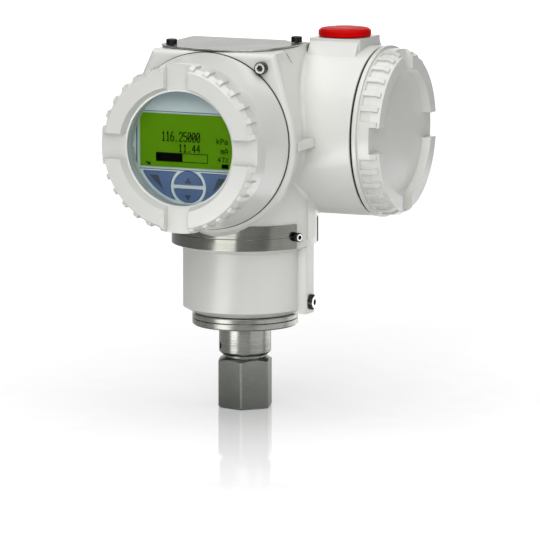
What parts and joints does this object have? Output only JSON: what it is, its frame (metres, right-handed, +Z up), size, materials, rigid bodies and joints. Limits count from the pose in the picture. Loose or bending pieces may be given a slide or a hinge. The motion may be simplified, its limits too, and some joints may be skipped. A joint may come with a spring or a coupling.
{
  "type": "pressure transmitter",
  "caption": "Process pressure transmitter with a round display window, a blind terminal cover, an indicator module and a threaded stainless process connection.",
  "frame": {"origin": "centre of the mouth of the process thread, on the foot of the hexagonal adapter", "axes": "+Z up along the process fitting's axis, -Y out of the display window, +X out of the terminal cover"},
  "size_m": [0.1282, 0.1558, 0.1975],
  "materials": {
    "white_coat": "die cast aluminium, satin off-white powder coat",
    "stainless": "turned stainless steel",
    "stainless_dark": "blackened or passivated steel screws",
    "tag_steel": "brushed stainless strip",
    "id_plate_metal": "brushed stainless sheet",
    "black_rubber": "black elastomer",
    "red_plastic": "moulded red polyethylene, satin",
    "glass": "clear toughened glass",
    "faceplate": "silver blue printed foil",
    "key_blue": "grey blue printed keys",
    "lcd_green": "yellow green reflective display",
    "case_plastic": "dark moulded plastic",
    "board_green": "glass epoxy circuit board",
    "terminal_plastic": "moulded terminal plastic",
    "brass": "nickel free brass",
    "button_grey": "moulded push buttons",
    "oil_filled_steel": "welded sensor capsule"
  },
  "bodies": {
    "sensor": {"process_adapter": "stainless", "process_fitting": "stainless", "flange_seal": "black_rubber", "sensor_base": "stainless", "spigot_o_ring": "black_rubber", "retaining_ring": "stainless", "isolating_diaphragm": "stainless", "sensor_capsule": "oil_filled_steel", "sensor_header": "brass", "sensor_board": "board_green"},
    "housing": {"housing": "white_coat", "swivel_lock_screw": "stainless_dark", "cover_lock_screw": "stainless_dark", "plate_screws": "stainless_dark", "tag_band": "tag_steel", "tag_plate": "tag_steel", "band_screw": "stainless_dark", "display_case": "case_plastic", "display_faceplate": "faceplate", "lcd_panel": "lcd_green", "key_mat": "black_rubber", "display_board": "board_green", "main_board": "board_green", "board_posts": "brass", "module_posts": "brass", "terminal_block": "terminal_plastic", "terminal_screws": "stainless", "clamp_plates": "brass", "block_screws": "stainless", "ground_screw": "stainless", "ground_clamp": "brass", "terminal_feedthrough": "terminal_plastic"},
    "display_cover_thread": {"display_cover_o_ring": "black_rubber"},
    "display_cover": {"display_cover": "white_coat", "display_cover_ring": "white_coat", "window_gasket": "black_rubber", "window_glass": "glass", "window_retaining_ring": "stainless"},
    "terminal_cover_thread": {"terminal_cover_o_ring": "black_rubber"},
    "terminal_cover": {"terminal_cover": "white_coat"},
    "entry_plug": {"entry_plug": "red_plastic"},
    "identification_plate": {"identification_plate": "id_plate_metal"},
    "key_up": {"key_up": "key_blue"},
    "key_down": {"key_down": "key_blue"},
    "key_left": {"key_left": "key_blue"},
    "key_right": {"key_right": "key_blue"},
    "zero_button": {"zero_button": "button_grey"},
    "span_button": {"span_button": "button_grey"},
    "write_protect_switch": {"write_protect_switch": "button_grey"}
  },
  "joints": [
    {"name": "housing_swivel", "type": "hinge", "parent": "sensor", "child": "housing", "pos_m": [0, 0, 0.06], "axis": [0, 0, 1], "range_deg": [-180, 180]},
    {"name": "display_cover_travel", "type": "slide", "parent": "housing", "child": "display_cover_thread", "axis": [0, -1, 0], "range_m": [0, 0.00905]},
    {"name": "display_cover_turn", "type": "hinge", "parent": "display_cover_thread", "child": "display_cover", "pos_m": [0, -0.05, 0.1445], "axis": [0, -1, 0], "range_deg": [0, 2160]},
    {"name": "terminal_cover_travel", "type": "slide", "parent": "housing", "child": "terminal_cover_thread", "axis": [1, 0, 0], "range_m": [0, 0.00905]},
    {"name": "terminal_cover_turn", "type": "hinge", "parent": "terminal_cover_thread", "child": "terminal_cover", "pos_m": [0.07, 0.025, 0.1445], "axis": [1, 0, 0], "range_deg": [0, 2160]},
    {"name": "entry_plug_pull", "type": "slide", "parent": "housing", "child": "entry_plug", "axis": [0, 0, 1], "range_m": [0, 0.012]},
    {"name": "plate_swing", "type": "hinge", "parent": "housing", "child": "identification_plate", "pos_m": [-0.025, -0.036, 0.1907], "axis": [0, 0, 1], "range_deg": [-95, 0]},
    {"name": "key_up_press", "type": "slide", "parent": "housing", "child": "key_up", "axis": [0, 1, 0], "range_m": [0, 0.0007], "stiffness_N_per_m": 600, "springref_m": -0.0005},
    {"name": "key_down_press", "type": "slide", "parent": "housing", "child": "key_down", "axis": [0, 1, 0], "range_m": [0, 0.0007], "stiffness_N_per_m": 600, "springref_m": -0.0005},
    {"name": "key_left_press", "type": "slide", "parent": "housing", "child": "key_left", "axis": [0, 1, 0], "range_m": [0, 0.0007], "stiffness_N_per_m": 600, "springref_m": -0.0005},
    {"name": "key_right_press", "type": "slide", "parent": "housing", "child": "key_right", "axis": [0, 1, 0], "range_m": [0, 0.0007], "stiffness_N_per_m": 600, "springref_m": -0.0005},
    {"name": "zero_button_press", "type": "slide", "parent": "housing", "child": "zero_button", "axis": [0, 0, -1], "range_m": [0, 0.0015], "stiffness_N_per_m": 500, "springref_m": -0.0008},
    {"name": "span_button_press", "type": "slide", "parent": "housing", "child": "span_button", "axis": [0, 0, -1], "range_m": [0, 0.0015], "stiffness_N_per_m": 500, "springref_m": -0.0008},
    {"name": "write_protect_turn", "type": "hinge", "parent": "housing", "child": "write_protect_switch", "pos_m": [0.013, -0.014, 0.186], "axis": [0, 0, 1], "range_deg": [0, 90]}
  ],
  "couplings": [
    {"joint": "display_cover_travel", "follows": "display_cover_turn", "m_per_rad": 0.00023873},
    {"joint": "terminal_cover_travel", "follows": "terminal_cover_turn", "m_per_rad": 0.00023873}
  ]
}
